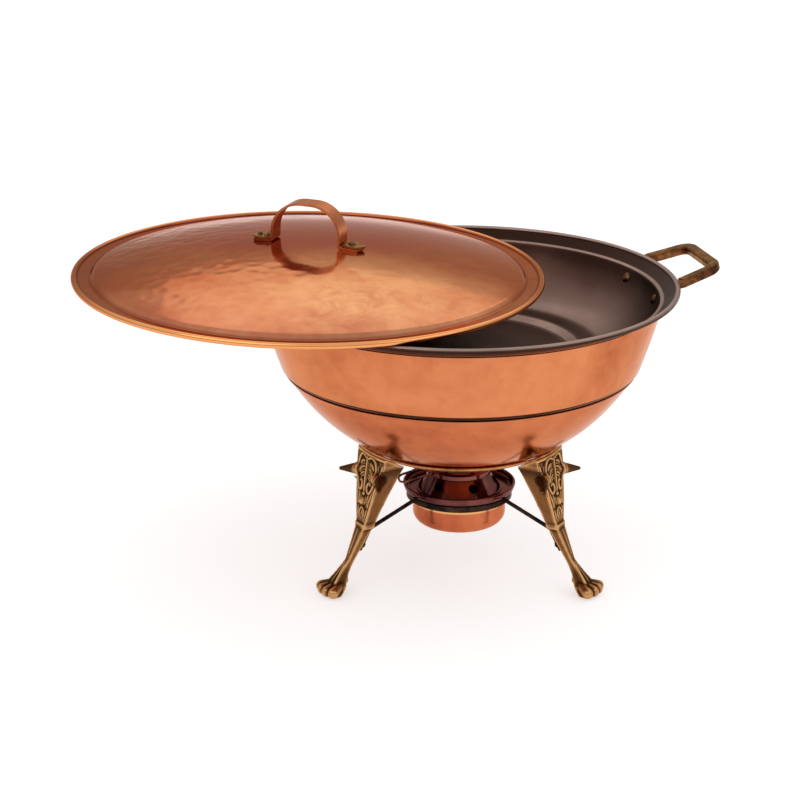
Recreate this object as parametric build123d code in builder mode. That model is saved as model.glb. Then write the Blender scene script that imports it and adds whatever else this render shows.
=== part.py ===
"""Chafing dish: a copper pan over a water pan, on a three-legged stand with a spirit burner.

Millimetres. +Z is up, +X is to the right of the dish as it is looked at, and +Y is to its
back. The pieces are drawn round the axis of the stand, and saved with the origin on the
table, in the middle of the rear leg's sole. The lid is off its place: it lies over the
left of the pan, on the rim and over the left loop handle.
"""

import os
from math import asin, atan2, cos, degrees, hypot, radians, sin, sqrt, tan

from build123d import *

os.makedirs("parts", exist_ok=True)

# Clearances
seat_gap = 0.3  # between pieces that lift or turn apart
fit_gap = 0.12  # between fixed pieces that lie on each other
hole_gap = 0.1  # round a shank, a rod or a wire in its hole

# Water pan: a round bowl with a flat base and a narrow lip
bowl_rim_radius = 145.0
bowl_slack = 23.0
bowl_sphere = bowl_rim_radius + bowl_slack
bowl_base_inset = 85.0
bowl_wall = 1.5
bowl_lip_width = 1.6

# Stand ring: a cone of sheet that the bowl sits in, with a rolled edge
seat_inset = 62.0
seat_radius = bowl_rim_radius - seat_inset
seat_height = 120.0
ring_inset = 5.0
ring_reach = 3.0
ring_sheet = 1.8
ring_roll = 1.2

# Jacket: the copper band round the food pan
band_overhang = 4.5
band_height = 58.4
band_flare = 17.0
band_wall = 1.4
band_ledge_width = 13.0
band_skirt = 8.0
ledge_reach = 1.0  # how far the flat part of the ledge runs past the bowl's rim radius
ledge_rise = 3.4  # from the flat part of the ledge to the band's lower edge

# Food pan: flared rim with a rolled edge, ledge, curved wall, step and floor
rim_flare = 12.6
rim_rise = 9.1
rim_roll = 2.3
pan_wall = 1.6
pan_gap = 0.5
ledge_width = 1.5
pan_depth = 58.0
floor_radius = 89.0
step_width = 12.0
step_rise = 4.0

# Lid, and how it lies on the rim
lid_radius = 195.0
lid_roll = 2.5
lid_sheet = 1.2
lid_flange = 15.0
lid_shoulder = 4.0
lid_step = 3.4
lid_rise = 27.0
lid_shift = 125.7
lid_bearing = 176.0
lid_tilt = 1.0

# Lid handle: a bent strap, a leaf-shaped plate on each foot, and rivets
strap_span = 61.0
strap_height = 34.5
strap_width = 17.0
strap_sheet = 2.0
strap_corner = 24.0
strap_bend = 2.6
strap_turn = -16.0
foot_length = 15.0
plate_sheet = 1.6
plate_width = 15.0
plate_neck = 11.0
plate_tip = 4.0
small_rivet_radius = 1.3
round_rivet_radius = 2.4
rivet_head_width = 1.2
rivet_head_height = 1.4
rivet_tail_height = 1.0

# Pan handles: cast loops, each riveted through the wall at two roots
grip_bearing = 15.0
root_spread = 12.0
grip_reach = 33.0
grip_rise = 9.0
grip_length = 64.0
grip_width = 9.5
grip_depth = 7.5
grip_corner = 11.0
grip_edge = 2.0
root_width = 9.0
root_thickness = 3.2
root_drop = 3.6
root_gap = 1.4
pad_inset = 2.8
pad_height = 14.0
wall_rivet_radius = 2.5
wall_rivet_head = 4.5
wall_rivet_cap = 2.0
wall_rivet_drop = 17.5
rivet_proud = 1.2

# Legs: outline from the side, stepping out from the seat, and from the front (half width)
leg_count = 3
rear_bearing = 90.0
leg_half_sweep = 18.0
leg_top_inset = 14.0
leg_top_proud = 5.0
leg_top_inner = seat_radius - leg_top_inset
leg_top_outer = seat_radius + leg_top_proud
leg_top_half_width = 22.0
shoulder_drop = 8.0
shoulder_height = seat_height - shoulder_drop
knee_drop = 38.0
knee_height = seat_height - knee_drop
knee_half_width = 13.5
collar_height = 57.0
collar_reach = 3.5
collar_thickness = 10.0
collar_inner = seat_radius + collar_reach
collar_outer = collar_inner + collar_thickness
collar_half_width = 6.8
collar_band = 4.0
collar_proud = 0.9
collar_edge = 2.0
ankle_height = 29.0
ankle_reach = 15.8
ankle_thickness = 6.4
ankle_inner = collar_inner + ankle_reach
ankle_outer = ankle_inner + ankle_thickness
ankle_half_width = 3.3
heel_reach = 16.7
sole_length = 8.0
heel_radius = ankle_inner + heel_reach
sole_radius = heel_radius + sole_length
sole_half_width = 9.0
sole_height = 8.0
boss_drop = 42.0
boss_height = seat_height - boss_drop
boss_radius = 4.6
boss_sunk = 2.0

# Horns at the top of the legs: blunt cones that point out and to the sides
horn_drop = 18.0
horn_height = seat_height - horn_drop
horn_root_side = 9.0
horn_root_depth = 5.0
horn_reach = 14.0
horn_spread = 24.0
horn_droop = 5.0
horn_thickness = 7.6
horn_blunt = 1.4

# Paws
toe_fan = (-29.0, -10.0, 10.0, 29.0)
toe_inset = 9.5
toe_length = 26.0
toe_root_radius = 2.6
toe_knuckle_radius = 4.6
toe_root_height = 11.5
toe_drop = 7.0

# Screws that hold the legs to the ring
screw_radius = 1.5
screw_head_radius = 2.7
screw_length = 7.0
screw_inset = 2.0
screw_place = seat_radius - screw_inset
screw_spread = 9.0
screw_sunk = 0.15
screw_cone = 82.0

# Burner ring, its struts, and the screws that hold them to the legs
burner_ring_top = 71.0
burner_ring_inner = 41.0
burner_ring_wall = 3.6
burner_ring_depth = 4.6
rod_radius = 1.7
rod_socket = 2.2
rod_drop = 2.3
rod_bend = 5.0
rod_overlap = 6.0
tab_width = 6.0
tab_sheet = 2.0
tab_length = 20.0
tab_drop = 4.0
tab_top = collar_height - tab_drop
tab_edge = 1.5
tab_gap = 0.2
strut_screw_radius = 1.2
strut_screw_head = 2.4
strut_screw_cap = 1.5
strut_screw_length = 5.0
strut_screw_place = 4.5

# Burner: cup, dish, perforated chimney, turning sleeve with a wire loop, screen and wick
cup_radius = 39.2
cup_height = 28.0
cup_wall = 1.2
cup_corner = 10.0
cup_bead = 1.1
dish_radius = 47.5
dish_flat = 42.5
dish_height = 6.2
dish_sheet = 1.3
dish_roll = 1.2
dish_inner = 31.0
neck_depth = 8.0
chimney_base = 32.5
chimney_flange = 3.5
chimney_top = 19.5
chimney_rise = 19.0
chimney_sheet = 1.0
vent_count = 6
vent_bearing = -68.0
vent_radius = 4.0
vent_rise = 8.0
sleeve_sheet = 1.1
sleeve_inset = 0.6
sleeve_collar = 3.2
sleeve_collar_height = 3.4
loop_bearing = 190.0
loop_reach = 29.0
loop_half_width = 9.0
loop_droop = 15.0
loop_wire = 1.0
loop_socket = 2.0
loop_corner = 6.0
screen_sheet = 0.9
screen_drop = 3.0
wick_height = 12.0


def radial_plane(bearing):
    """Upright plane through the axis: local x points out at the bearing, local y up."""
    outward = (cos(radians(bearing)), sin(radians(bearing)), 0)
    sideways = (sin(radians(bearing)), -cos(radians(bearing)), 0)
    return Plane(origin=(0, 0, 0), x_dir=outward, z_dir=sideways)


def facing_plane(bearing, distance):
    """Upright plane square to the bearing, at a distance out: local x is sideways."""
    outward = Vector(cos(radians(bearing)), sin(radians(bearing)), 0)
    sideways = (-sin(radians(bearing)), cos(radians(bearing)), 0)
    return Plane(origin=outward * distance, x_dir=sideways, z_dir=outward)


def spot(bearing, radius, height, lean):
    """Plane at a point of a radial plane, whose normal leans up from outward by the lean."""
    flat = radial_plane(bearing)
    normal = flat.x_dir * cos(radians(lean)) + flat.y_dir * sin(radians(lean))
    return Plane(origin=flat.from_local_coords((radius, height, 0)), x_dir=flat.z_dir, z_dir=normal)


def bowl_height(radius):
    """Height of the outside of the bowl's belly at a radius."""
    return bowl_centre - sqrt(bowl_sphere**2 - radius**2)


def band_radius(height):
    """Outer radius of the copper band at a height."""
    return band_start[0] + (height - band_start[1]) * band_flare / band_rise


def save(piece, name):
    """Move a finished piece so that the rear sole is at the origin, and write it under its name."""
    sole_middle = (heel_radius + sole_radius) / 2
    placed = piece.part.moved(Location((0, -sole_middle, 0)))
    placed.label = name
    export_step(placed, f"parts/{name}.step")


# Heights that follow from the seat of the bowl in the ring
seat_angle = asin(seat_radius / bowl_sphere)
seat_slope = tan(seat_angle)
bowl_centre = seat_height + seat_gap / cos(seat_angle) + bowl_sphere * cos(seat_angle)
bowl_base_radius = bowl_rim_radius - bowl_base_inset
bowl_base = bowl_height(bowl_base_radius)
bowl_lip = bowl_height(bowl_rim_radius)
bowl_rim = bowl_lip + bowl_wall

band_bottom = bowl_rim + seat_gap
band_top = band_bottom + band_height
band_rise = band_height - ledge_rise
band_start = (bowl_rim_radius + band_overhang, band_bottom + ledge_rise)
band_end = (band_start[0] + band_flare, band_top)
band_lean = band_flare / hypot(band_flare, band_rise)
band_stand = band_rise / hypot(band_flare, band_rise)

ledge_radius = band_end[0] - band_wall
ledge_under = band_top + band_wall * band_lean + fit_gap
rim_top = ledge_under + pan_wall + rim_rise
rim_radius = ledge_radius + rim_flare + rim_roll
rim_ridge_radius = rim_radius - rim_roll

# The food pan's wall is an arc that leaves the ledge along the band and ends at the step
floor_top = rim_top - pan_depth
step_radius = floor_radius + step_width
wall_start = Vector(ledge_radius - pan_gap, ledge_under)
wall_end = Vector(step_radius, floor_top + step_rise - pan_wall)
wall_way = Vector(-band_lean, -band_stand)
wall_normal = Vector(-band_stand, band_lean)
wall_chord = wall_end - wall_start
wall_bend = wall_chord.dot(wall_chord) / (2 * wall_chord.dot(wall_normal))
wall_centre = wall_start + wall_normal * wall_bend

# Water pan: base, belly and a lip turned out flat at the rim
with BuildPart() as water_pan:
    with BuildSketch(Plane.XZ):
        with BuildLine():
            base = Line((0, bowl_base), (bowl_base_radius, bowl_base))
            belly = ThreePointArc(
                base @ 1,
                (seat_radius, bowl_height(seat_radius)),
                (bowl_rim_radius, bowl_lip),
            )
            Line(belly @ 1, (bowl_rim_radius + bowl_lip_width, bowl_lip))
            offset(amount=bowl_wall, side=Side.LEFT)
        make_face()
    revolve(axis=Axis.Z)
save(water_pan, "water_pan")

# Handle roots: where each one lies against the band, and its rivet through both walls
root_bearings = {
    "right": (grip_bearing - root_spread, grip_bearing + root_spread),
    "left": (grip_bearing + 180 - root_spread, grip_bearing + 180 + root_spread),
}
pad_top = band_top - pad_inset
pad_bottom = pad_top - pad_height
pad_top_radius = band_radius(pad_top) + fit_gap
pad_bottom_radius = band_radius(pad_bottom) + fit_gap
rivet_height = rim_top - wall_rivet_drop
rivet_lean = asin((rivet_height - wall_centre.Y) / (wall_bend - pan_wall))
rivet_inner_radius = wall_centre.X + (wall_bend - pan_wall) * cos(rivet_lean)
rivet_run = (pad_top_radius + root_thickness - rivet_inner_radius) / cos(rivet_lean)
root_rivet_spots = {
    side: [spot(b, rivet_inner_radius, rivet_height, degrees(rivet_lean)) for b in bearings]
    for side, bearings in root_bearings.items()
}
wall_rivet_spots = root_rivet_spots["right"] + root_rivet_spots["left"]

# Jacket: conical band, ledge turned in under it, and a skirt that centres it in the water pan
skirt_radius = band_start[0] - band_ledge_width
with BuildPart() as food_pan_jacket:
    with BuildSketch(Plane.XZ):
        with BuildLine():
            skirt = Line((skirt_radius, band_bottom - band_skirt), (skirt_radius, band_bottom))
            flat_ledge = Line(skirt @ 1, (bowl_rim_radius + ledge_reach, band_bottom))
            groove = Line(flat_ledge @ 1, band_start)
            Line(groove @ 1, band_end)
            offset(amount=band_wall, side=Side.LEFT)
        make_face()
    revolve(axis=Axis.Z)
    with Locations(*wall_rivet_spots):
        Cylinder(
            wall_rivet_radius + hole_gap,
            rivet_run,
            align=(Align.CENTER, Align.CENTER, Align.MIN),
            mode=Mode.SUBTRACT,
        )
save(food_pan_jacket, "food_pan_jacket")

# Food pan: floor, step, wall, ledge, flare and rolled edge
with BuildPart() as food_pan:
    with BuildSketch(Plane.XZ):
        with BuildLine():
            floor = Line((0, floor_top - pan_wall), (floor_radius, floor_top - pan_wall))
            Line(floor @ 1, (wall_end.X, wall_end.Y))
            TangentArc(
                (wall_start.X, wall_start.Y), (wall_end.X, wall_end.Y), tangent=(wall_way.X, wall_way.Y)
            )
            ledge = Line((wall_start.X, wall_start.Y), (ledge_radius + ledge_width, ledge_under))
            Line(ledge @ 1, (rim_ridge_radius, rim_top - rim_roll - pan_wall / 2))
            offset(amount=pan_wall, side=Side.LEFT)
        make_face()
        with Locations((rim_ridge_radius, rim_top - rim_roll)):
            Circle(rim_roll)
    revolve(axis=Axis.Z)
    with Locations(*wall_rivet_spots):
        Cylinder(wall_rivet_radius + hole_gap, 2 * wall_rivet_head, mode=Mode.SUBTRACT)
save(food_pan, "food_pan")


def build_pan_handle(side):
    """Cast loop that rises outward from two roots, each with a pad against the band."""
    middle = grip_bearing if side == "right" else grip_bearing + 180
    root_radius = rim_radius + root_drop / 2 + root_gap
    root_side = root_radius * sin(radians(root_spread))
    root_out = root_radius * cos(radians(root_spread))
    root_height = rim_top - root_drop
    flat = radial_plane(middle)
    tongue_height = rim_top - 2 * rim_roll - pan_gap
    flare_slope = (rim_top - rim_roll - ledge_under) / (rim_ridge_radius - ledge_radius - ledge_width)
    tongue_start = rim_ridge_radius - (tongue_height - pad_top - root_thickness) / flare_slope
    with BuildPart() as handle:
        with BuildLine(flat) as path:
            FilletPolyline(
                (root_out, root_height, root_side),
                (root_out + grip_reach, root_height + grip_rise, grip_length / 2),
                (root_out + grip_reach, root_height + grip_rise, -grip_length / 2),
                (root_out, root_height, -root_side),
                radius=grip_corner,
            )
        start = path.line @ 0
        way = path.line % 0
        slope = atan2(grip_rise, grip_reach)
        normal = flat.y_dir * cos(slope) - flat.x_dir * sin(slope)
        with BuildSketch(Plane(origin=start, x_dir=normal, z_dir=way)):
            RectangleRounded(grip_depth, grip_width, grip_edge)
        sweep()
        for bearing in root_bearings[side]:
            with BuildSketch(radial_plane(bearing)):
                with BuildLine():
                    Polyline(
                        (pad_bottom_radius, pad_bottom),
                        (pad_bottom_radius + root_thickness, pad_bottom),
                        (pad_top_radius + root_thickness, pad_top - root_thickness),
                        (rim_ridge_radius, tongue_height - root_thickness),
                        (root_radius + root_thickness, root_height - grip_depth / 3),
                        (root_radius + root_thickness / 2, root_height + grip_depth / 2),
                        (rim_radius + pan_gap, rim_top - root_drop / 3),
                        (rim_radius + pan_gap, tongue_height),
                        (rim_ridge_radius, tongue_height),
                        (tongue_start, pad_top + root_thickness / 3),
                        (pad_top_radius, pad_top),
                        close=True,
                    )
                make_face()
            extrude(amount=root_width / 2, both=True)
        with Locations(*root_rivet_spots[side]):
            Cylinder(
                wall_rivet_radius + hole_gap,
                2 * rivet_run,
                align=(Align.CENTER, Align.CENTER, Align.MIN),
                mode=Mode.SUBTRACT,
            )
    return handle


pan_handles = {side: build_pan_handle(side) for side in root_bearings}
for side, handle in pan_handles.items():
    save(handle, f"pan_handle_{side}")

# Rivets of the pan handles: cap inside the pan, shank through both walls, head on the pad
with BuildPart() as pan_handle_rivets:
    with Locations(*[plane.offset(-seat_gap) for plane in wall_rivet_spots]):
        Cylinder(
            wall_rivet_radius,
            rivet_run + seat_gap + rivet_proud,
            align=(Align.CENTER, Align.CENTER, Align.MIN),
        )
        Cone(
            wall_rivet_radius,
            wall_rivet_head,
            wall_rivet_cap,
            align=(Align.CENTER, Align.CENTER, Align.MAX),
        )
save(pan_handle_rivets, "pan_handle_rivets")


# Lid: its own frame stands on the rim where its rolled edge crosses the pan's, leaning back
lid_reach = lid_radius - lid_roll
lid_meet = (lid_shift**2 + rim_ridge_radius**2 - lid_reach**2) / (2 * lid_shift)
lid_height = rim_top + seat_gap + lid_roll + (lid_shift - lid_meet) * tan(radians(lid_tilt))
lid_way = Vector(cos(radians(lid_bearing)), sin(radians(lid_bearing)), 0)
lid_up = Vector(0, 0, cos(radians(lid_tilt))) - lid_way * sin(radians(lid_tilt))
lid_level = lid_way * -cos(radians(lid_tilt)) - Vector(0, 0, sin(radians(lid_tilt)))
lid_origin = lid_way * lid_shift + Vector(0, 0, lid_height)
lid_frame = Plane(origin=lid_origin, x_dir=lid_level, z_dir=lid_up)
lid_section = Plane(origin=lid_origin, x_dir=lid_level, z_dir=-lid_frame.y_dir)
lid_axis = Axis(lid_origin, lid_up)

dome_radius = lid_radius - lid_flange - lid_shoulder
dome_bend = (dome_radius**2 + (lid_rise - lid_step) ** 2) / (2 * (lid_rise - lid_step))


def dome_height(radius):
    """Height of the top of the dome over the lid's own origin."""
    return lid_rise - dome_bend + sqrt(dome_bend**2 - radius**2)


# Feet of the lid handle lie along the dome, so each has a plane of its own on the strap
strap_frame = lid_frame.rotated((0, 0, strap_turn))
strap_section = Plane(origin=lid_origin, x_dir=strap_frame.x_dir, z_dir=-strap_frame.y_dir)
foot_middle = strap_span / 2 + foot_length / 2
foot_slope = asin(foot_middle / dome_bend)


def foot_height(radius):
    """Height of the underside of a strap foot at a distance from the middle of the lid."""
    lift = dome_height(foot_middle) + fit_gap / cos(foot_slope)
    return lift - (radius - foot_middle) * tan(foot_slope)


def foot_plane(side):
    """Plane on top of a foot: local x runs out along it, the normal stands square to it."""
    outward = strap_section.x_dir * side
    lift = foot_height(foot_middle) + strap_sheet / cos(foot_slope)
    origin = strap_section.from_local_coords((side * foot_middle, lift, 0))
    along = outward * cos(foot_slope) - strap_section.y_dir * sin(foot_slope)
    normal = outward * sin(foot_slope) + strap_section.y_dir * cos(foot_slope)
    return Plane(origin=origin, x_dir=along, z_dir=normal)


left_foot = foot_plane(-1)
right_foot = foot_plane(1)
small_rivet_spots = [
    left_foot.shift_origin(left_foot.from_local_coords((foot_length / 3, 0, 0))),
    left_foot.shift_origin(left_foot.from_local_coords((-foot_length / 6, plate_neck / 3, 0))),
    left_foot.shift_origin(left_foot.from_local_coords((-foot_length / 6, -plate_neck / 3, 0))),
]
round_rivet_spots = [right_foot]
rivet_depth = strap_sheet + lid_sheet + 2 * fit_gap

# Lid: rolled edge, flange, shoulder and shallow dome
with BuildPart() as lid:
    with BuildSketch(lid_section):
        with BuildLine():
            flange = Line((lid_reach, lid_sheet / 2), (lid_radius - lid_flange, 0))
            shoulder = Line(flange @ 1, (dome_radius, lid_step))
            halfway = dome_radius / 2
            ThreePointArc(shoulder @ 1, (halfway, dome_height(halfway)), (0, lid_rise))
            offset(amount=lid_sheet, side=Side.LEFT)
        make_face()
        with Locations((lid_reach, 0)):
            Circle(lid_roll)
    revolve(axis=lid_axis)
    with Locations(*small_rivet_spots):
        Hole(small_rivet_radius + hole_gap, depth=2 * rivet_depth)
    with Locations(*round_rivet_spots):
        Hole(round_rivet_radius + hole_gap, depth=2 * rivet_depth)
save(lid, "lid")

# Lid handle: one strap bent into an arch, with its feet turned out
strap_half = strap_span / 2 - strap_sheet
strap_end = strap_span / 2 + foot_length
strap_top = lid_rise + strap_height - strap_sheet
with BuildPart() as lid_handle:
    with BuildSketch(strap_section):
        with BuildLine():
            FilletPolyline(
                (-strap_end, foot_height(strap_end)),
                (-strap_half, foot_height(strap_half)),
                (-strap_half, strap_top),
                (strap_half, strap_top),
                (strap_half, foot_height(strap_half)),
                (strap_end, foot_height(strap_end)),
                radius=[strap_bend, strap_corner, strap_corner, strap_bend],
            )
            offset(amount=strap_sheet, side=Side.LEFT)
        make_face()
    extrude(amount=strap_width / 2, both=True)
    with Locations(*small_rivet_spots):
        Hole(small_rivet_radius + hole_gap, depth=rivet_depth)
    with Locations(*round_rivet_spots):
        Hole(round_rivet_radius + hole_gap, depth=rivet_depth)
save(lid_handle, "lid_handle")


def build_plate(foot, rivet_spots, rivet_radius):
    """Leaf-shaped plate over a foot: a straight neck, a swelling leaf and a point."""
    neck_at = -foot_length / 2 + strap_sheet / 2
    tip_at = foot_length / 2 + plate_tip
    belly_at = tip_at / 4
    with BuildPart() as plate:
        with BuildSketch(foot.offset(fit_gap)):
            with BuildLine():
                Line((neck_at, -plate_neck / 2), (neck_at, plate_neck / 2))
                ThreePointArc((neck_at, plate_neck / 2), (belly_at, plate_width / 2), (tip_at, 0))
                mirror(about=Plane.XZ)
            make_face()
        extrude(amount=plate_sheet)
        with Locations(*[place.offset(2 * plate_sheet) for place in rivet_spots]):
            Hole(rivet_radius + hole_gap, depth=4 * plate_sheet)
    return plate


lid_handle_plate_left = build_plate(left_foot, small_rivet_spots, small_rivet_radius)
lid_handle_plate_right = build_plate(right_foot, round_rivet_spots, round_rivet_radius)
save(lid_handle_plate_left, "lid_handle_plate_left")
save(lid_handle_plate_right, "lid_handle_plate_right")

# Rivets of the lid handle: head on the plate, shank through foot and lid, tail under the lid
with BuildPart() as lid_handle_rivets:
    for places, radius in ((small_rivet_spots, small_rivet_radius), (round_rivet_spots, round_rivet_radius)):
        head_radius = radius + rivet_head_width
        with Locations(*[place.offset(plate_sheet + 2 * fit_gap) for place in places]):
            Cone(
                head_radius,
                radius,
                rivet_head_height,
                align=(Align.CENTER, Align.CENTER, Align.MIN),
            )
            Cylinder(
                radius,
                plate_sheet + 2 * fit_gap + rivet_depth + fit_gap + rivet_tail_height,
                align=(Align.CENTER, Align.CENTER, Align.MAX),
            )
        with Locations(*[place.offset(-rivet_depth - fit_gap) for place in places]):
            Cylinder(
                head_radius,
                rivet_tail_height,
                align=(Align.CENTER, Align.CENTER, Align.MAX),
            )
save(lid_handle_rivets, "lid_handle_rivets")

# Stand ring: a cone of sheet under the bowl, with a rolled edge and countersunk holes
seat_sin = sin(seat_angle)
seat_cos = cos(seat_angle)
ring_top_radius = seat_radius + ring_reach
ring_low_radius = seat_radius - ring_inset
leg_turn = 360 / leg_count
leg_bearings = {
    "front_right": rear_bearing - leg_turn,
    "rear": rear_bearing,
    "front_left": rear_bearing + leg_turn,
}


def seat_line(radius):
    """Height of the upper face of the stand ring at a radius."""
    return seat_height + (radius - seat_radius) * seat_slope


screw_spots = {
    name: [
        spot(bearing + way * screw_spread, screw_place, seat_line(screw_place), 90 + degrees(seat_angle))
        for way in (-1, 1)
    ]
    for name, bearing in leg_bearings.items()
}
all_screw_spots = screw_spots["front_right"] + screw_spots["rear"] + screw_spots["front_left"]

with BuildPart() as stand_ring:
    with BuildSketch(Plane.XZ):
        with BuildLine():
            Polyline(
                (ring_low_radius, seat_line(ring_low_radius)),
                (ring_top_radius, seat_line(ring_top_radius)),
                (ring_top_radius + ring_sheet * seat_sin, seat_line(ring_top_radius) - ring_sheet * seat_cos),
                (ring_low_radius + ring_sheet * seat_sin, seat_line(ring_low_radius) - ring_sheet * seat_cos),
                close=True,
            )
        make_face()
        with Locations(
            (ring_top_radius + ring_roll * seat_sin, seat_line(ring_top_radius) - ring_roll * seat_cos)
        ):
            Circle(ring_roll)
    revolve(axis=Axis.Z)
    with Locations(*all_screw_spots):
        CounterSinkHole(
            screw_radius + hole_gap,
            screw_head_radius + screw_sunk + hole_gap,
            depth=2 * ring_sheet,
            counter_sink_angle=screw_cone,
        )
save(stand_ring, "stand_ring")

# Legs
bead_bottom = seat_line(ring_top_radius) - ring_roll * seat_cos - ring_roll
leg_top = bead_bottom - fit_gap
under_ring = (ring_sheet + fit_gap) / seat_cos
leg_neck_radius = seat_radius + (leg_top - seat_height + under_ring) / seat_slope
leg_lean = atan2(ankle_inner - collar_inner, collar_height - ankle_height)
toe_slope = asin(toe_drop / toe_length)


def leg_inner_face(height):
    """Inner radius of a leg between its collar and its ankle."""
    return collar_inner + (collar_height - height) * tan(leg_lean)


def leg_outer_face(height):
    """Outer radius of a leg above its collar."""
    return collar_outer - (height - collar_height) * (collar_outer - leg_top_outer) / (leg_top - collar_height)


tab_middle = tab_top - tab_length * cos(leg_lean) / 2
screw_on_tab = tab_middle - strut_screw_place * cos(leg_lean)
leg_screw_spots = {
    name: spot(bearing, leg_inner_face(screw_on_tab), screw_on_tab, 180 + degrees(leg_lean))
    for name, bearing in leg_bearings.items()
}


def build_leg(name):
    """Cast leg: side outline turned about the axis, cut to the front outline, then dressed."""
    bearing = leg_bearings[name]
    front = facing_plane(bearing, 0)
    with BuildPart() as leg:
        with BuildSketch(radial_plane(bearing - leg_half_sweep)):
            with BuildLine():
                Polyline(
                    (leg_top_inner, seat_line(leg_top_inner) - under_ring),
                    (leg_neck_radius, leg_top),
                    (leg_top_outer, leg_top),
                    (collar_outer, collar_height),
                    (ankle_outer, ankle_height),
                    (sole_radius, sole_height),
                    (sole_radius, 0),
                    (heel_radius, 0),
                    (ankle_inner, ankle_height),
                    (collar_inner, collar_height),
                    close=True,
                )
            make_face()
        revolve(axis=Axis.Z, revolution_arc=2 * leg_half_sweep)
        with BuildSketch(front):
            with BuildLine():
                top = Line((0, leg_top), (leg_top_half_width, leg_top))
                side = Line(top @ 1, (leg_top_half_width, shoulder_height))
                brace = ThreePointArc(
                    side @ 1, (knee_half_width, knee_height), (collar_half_width, collar_height)
                )
                calf = Line(brace @ 1, (ankle_half_width, ankle_height))
                paw = TangentArc(calf @ 1, (sole_half_width, sole_height), tangent=calf % 1)
                heel = Line(paw @ 1, (sole_half_width, 0))
                Line(heel @ 1, (0, 0))
                mirror(about=Plane.YZ)
            make_face()
        extrude(amount=2 * sole_radius, mode=Mode.INTERSECT)
        band_origin = front.from_local_coords(
            (0, collar_height - collar_band / 2, (collar_inner + collar_outer) / 2)
        )
        with BuildSketch(Plane(origin=band_origin, x_dir=front.x_dir, z_dir=(0, 0, 1))):
            RectangleRounded(
                2 * (collar_half_width + collar_proud),
                collar_outer - collar_inner + 2 * collar_proud,
                collar_edge,
            )
        extrude(amount=collar_band)
        boss = front.from_local_coords((0, boss_height, leg_outer_face(boss_height) - boss_sunk))
        with Locations(boss):
            Sphere(boss_radius)
        for way in (-1, 1):
            horn_radius = leg_top_outer - horn_root_depth
            horn_side = way * (horn_root_side + horn_spread)
            horn_root = front.from_local_coords((way * horn_root_side, horn_height, horn_radius))
            horn_tip = front.from_local_coords(
                (horn_side, horn_height - horn_droop, horn_radius + horn_reach)
            )
            with Locations(Plane(origin=horn_root, z_dir=horn_tip - horn_root)):
                Cone(
                    horn_thickness,
                    horn_blunt,
                    (horn_tip - horn_root).length,
                    align=(Align.CENTER, Align.CENTER, Align.MIN),
                )
        for fan in toe_fan:
            outward = Vector(cos(radians(bearing + fan)), sin(radians(bearing + fan)), 0)
            toe_way = outward * cos(toe_slope) - Vector(0, 0, sin(toe_slope))
            toe_up = outward * sin(toe_slope) + Vector(0, 0, cos(toe_slope))
            root = front.from_local_coords((0, toe_root_height, heel_radius - toe_inset))
            with BuildSketch(Plane(origin=root, x_dir=toe_way, z_dir=toe_way.cross(toe_up))):
                with BuildLine():
                    knuckle = (toe_length - toe_knuckle_radius, toe_knuckle_radius)
                    Polyline((toe_length, 0), (0, 0), (0, toe_root_radius), knuckle)
                    RadiusArc(knuckle, (toe_length, 0), toe_knuckle_radius)
                make_face()
            revolve(axis=Axis(root, toe_way))
        split(bisect_by=Plane.XY, keep=Keep.TOP)
        with Locations(*screw_spots[name]):
            Hole(screw_radius + hole_gap, depth=screw_length + seat_gap)
        with Locations(leg_screw_spots[name]):
            Hole(strut_screw_radius + hole_gap, depth=strut_screw_length)
    return leg


legs = {name: build_leg(name) for name in leg_bearings}
for name, leg in legs.items():
    save(leg, f"leg_{name}")

# Screws that hold the legs to the ring: countersunk heads, a little below the face
with BuildPart() as leg_screws:
    with Locations(*[place.offset(-screw_sunk) for place in all_screw_spots]):
        Cone(
            screw_radius,
            screw_head_radius,
            (screw_head_radius - screw_radius) / tan(radians(screw_cone / 2)),
            align=(Align.CENTER, Align.CENTER, Align.MAX),
        )
        Cylinder(screw_radius, screw_length, align=(Align.CENTER, Align.CENTER, Align.MAX))
save(leg_screws, "leg_screws")

# Burner ring, with a socket for each strut
burner_ring_outer = burner_ring_inner + burner_ring_wall
burner_ring_base = burner_ring_top - burner_ring_depth
rod_start = (burner_ring_outer, burner_ring_top - rod_drop)
rod_face = tab_gap + rod_radius + hole_gap
rod_knee = (
    leg_inner_face(tab_top) - rod_face * cos(leg_lean),
    tab_top - rod_face * sin(leg_lean),
)
rod_slope = atan2(rod_start[1] - rod_knee[1], rod_knee[0] - rod_start[0])
rod_end = (
    rod_knee[0] + rod_overlap * sin(leg_lean),
    rod_knee[1] - rod_overlap * cos(leg_lean),
)
socket_spots = [spot(bearing, *rod_start, -degrees(rod_slope)) for bearing in leg_bearings.values()]
with BuildPart() as burner_ring:
    with BuildSketch(Plane.XY.offset(burner_ring_base)):
        Circle(burner_ring_outer)
        Circle(burner_ring_inner, mode=Mode.SUBTRACT)
    extrude(amount=burner_ring_depth)
    with Locations(*socket_spots):
        Hole(rod_radius + hole_gap, depth=rod_socket + hole_gap)
save(burner_ring, "burner_ring")


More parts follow.
